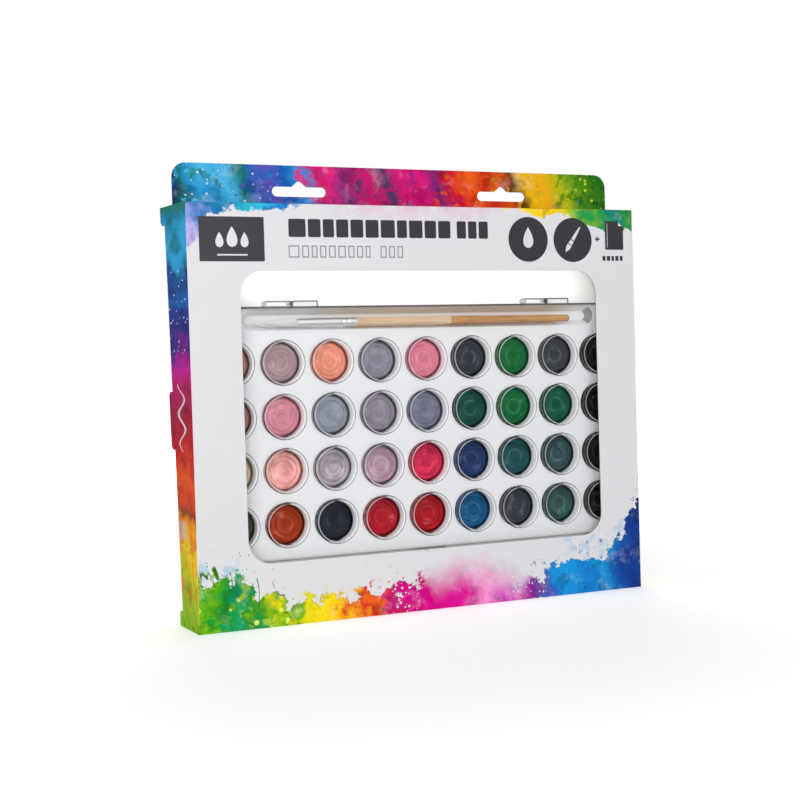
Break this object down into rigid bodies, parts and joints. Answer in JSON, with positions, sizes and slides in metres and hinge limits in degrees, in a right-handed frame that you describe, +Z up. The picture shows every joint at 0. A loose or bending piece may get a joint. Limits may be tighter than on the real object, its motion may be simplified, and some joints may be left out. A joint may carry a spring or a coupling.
{
  "type": "watercolor pan set",
  "caption": "Upright window carton with a hang header, holding a white hinged case of round watercolor pans under a clear lid, with brushes and paper.",
  "frame": {"origin": "middle of the carton's width and depth, at its underside", "axes": "+X to the right across the printed front, +Y from the printed front to the back card, +Z up"},
  "size_m": [0.285, 0.033, 0.252],
  "materials": {
    "printed_card": "coated white board with a watercolour print",
    "back_board": "coated board, printed on the header",
    "plain_card": "plain white board",
    "clear_tape": "clear adhesive tape",
    "white_plastic": "glossy moulded white plastic",
    "clear_plastic": "clear moulded polystyrene lid",
    "cup_plastic": "clear moulded cups",
    "watercolour_paper": "uncoated white paper",
    "brush_hair": "white synthetic hair, dry and pointed",
    "ferrule_metal": "bright seamless ferrule with two crimps",
    "handle_wood": "clear varnished pale wood",
    "paint_rose_brown": "pressed cake of watercolour paint",
    "paint_mauve_grey": "pressed cake of watercolour paint",
    "paint_salmon_orange": "pressed cake of watercolour paint",
    "paint_stone_grey": "pressed cake of watercolour paint",
    "paint_rose_pink": "pressed cake of watercolour paint",
    "paint_charcoal": "pressed cake of watercolour paint",
    "paint_leaf_green": "pressed cake of watercolour paint",
    "paint_slate_grey": "pressed cake of watercolour paint",
    "paint_lamp_black": "pressed cake of watercolour paint",
    "paint_dusty_brown": "pressed cake of watercolour paint",
    "paint_dusty_pink": "pressed cake of watercolour paint",
    "paint_blue_grey": "pressed cake of watercolour paint",
    "paint_plum_grey": "pressed cake of watercolour paint",
    "paint_violet_grey": "pressed cake of watercolour paint",
    "paint_pine_green": "pressed cake of watercolour paint",
    "paint_grass_green": "pressed cake of watercolour paint",
    "paint_forest_green": "pressed cake of watercolour paint",
    "paint_warm_black": "pressed cake of watercolour paint",
    "paint_olive_beige": "pressed cake of watercolour paint",
    "paint_coral_pink": "pressed cake of watercolour paint",
    "paint_lilac_grey": "pressed cake of watercolour paint",
    "paint_pale_mauve": "pressed cake of watercolour paint",
    "paint_crimson_rose": "pressed cake of watercolour paint",
    "paint_navy_blue": "pressed cake of watercolour paint",
    "paint_deep_teal": "pressed cake of watercolour paint",
    "paint_slate_teal": "pressed cake of watercolour paint",
    "paint_brown_black": "pressed cake of watercolour paint",
    "paint_olive_brown": "pressed cake of watercolour paint",
    "paint_burnt_orange": "pressed cake of watercolour paint",
    "paint_blue_black": "pressed cake of watercolour paint",
    "paint_carmine_red": "pressed cake of watercolour paint",
    "paint_bright_red": "pressed cake of watercolour paint",
    "paint_sea_blue": "pressed cake of watercolour paint",
    "paint_graphite": "pressed cake of watercolour paint",
    "paint_sea_green": "pressed cake of watercolour paint",
    "paint_deep_black": "pressed cake of watercolour paint"
  },
  "bodies": {
    "carton_back": {"back_card": "back_board", "inner_riser": "plain_card", "paper_sheet_1": "watercolour_paper", "paper_sheet_2": "watercolour_paper", "paper_sheet_3": "watercolour_paper", "paper_sheet_4": "watercolour_paper", "paper_sheet_5": "watercolour_paper", "paint_tray": "white_plastic", "pan_cups_row_a": "cup_plastic", "pan_cups_row_b": "cup_plastic", "pan_cups_row_c": "cup_plastic", "pan_cups_row_d": "cup_plastic", "paint_a1_rose_brown": "paint_rose_brown", "paint_a2_mauve_grey": "paint_mauve_grey", "paint_a3_salmon_orange": "paint_salmon_orange", "paint_a4_stone_grey": "paint_stone_grey", "paint_a5_rose_pink": "paint_rose_pink", "paint_a6_charcoal": "paint_charcoal", "paint_a7_leaf_green": "paint_leaf_green", "paint_a8_slate_grey": "paint_slate_grey", "paint_a9_lamp_black": "paint_lamp_black", "paint_b1_dusty_brown": "paint_dusty_brown", "paint_b2_dusty_pink": "paint_dusty_pink", "paint_b3_blue_grey": "paint_blue_grey", "paint_b4_plum_grey": "paint_plum_grey", "paint_b5_violet_grey": "paint_violet_grey", "paint_b6_pine_green": "paint_pine_green", "paint_b7_grass_green": "paint_grass_green", "paint_b8_forest_green": "paint_forest_green", "paint_b9_warm_black": "paint_warm_black", "paint_c1_olive_beige": "paint_olive_beige", "paint_c2_coral_pink": "paint_coral_pink", "paint_c3_lilac_grey": "paint_lilac_grey", "paint_c4_pale_mauve": "paint_pale_mauve", "paint_c5_crimson_rose": "paint_crimson_rose", "paint_c6_navy_blue": "paint_navy_blue", "paint_c7_deep_teal": "paint_deep_teal", "paint_c8_slate_teal": "paint_slate_teal", "paint_c9_brown_black": "paint_brown_black", "paint_d1_olive_brown": "paint_olive_brown", "paint_d2_burnt_orange": "paint_burnt_orange", "paint_d3_blue_black": "paint_blue_black", "paint_d4_carmine_red": "paint_carmine_red", "paint_d5_bright_red": "paint_bright_red", "paint_d6_sea_blue": "paint_sea_blue", "paint_d7_graphite": "paint_graphite", "paint_d8_sea_green": "paint_sea_green", "paint_d9_deep_black": "paint_deep_black"},
    "carton_front": {"carton_front": "printed_card", "tape_tab": "clear_tape"},
    "lid": {"clear_lid": "clear_plastic"},
    "brush_1": {"brush_1_bristles": "brush_hair", "brush_1_ferrule": "ferrule_metal", "brush_1_handle": "handle_wood"},
    "brush_2": {"brush_2_bristles": "brush_hair", "brush_2_ferrule": "ferrule_metal", "brush_2_handle": "handle_wood"}
  },
  "joints": [
    {"name": "front_pull_off", "type": "slide", "parent": "carton_back", "child": "carton_front", "axis": [0, -1, 0], "range_m": [0, 0.278]},
    {"name": "lid_hinge", "type": "hinge", "parent": "carton_back", "child": "lid", "pos_m": [0, -0.0053, 0.174], "axis": [-1, 0, 0], "range_deg": [0, 110]},
    {"name": "brush_1_lift", "type": "slide", "parent": "carton_back", "child": "brush_1", "axis": [0, -1, 0], "range_m": [0, 0.014]},
    {"name": "brush_2_lift", "type": "slide", "parent": "carton_back", "child": "brush_2", "axis": [0, -1, 0], "range_m": [0, 0.014]}
  ],
  "couplings": [
    {"joint": "lid_hinge", "follows": "front_pull_off", "rad_per_m": 6.9},
    {"joint": "brush_1_lift", "follows": "front_pull_off", "ratio": 0.05},
    {"joint": "brush_2_lift", "follows": "front_pull_off", "ratio": 0.05}
  ]
}
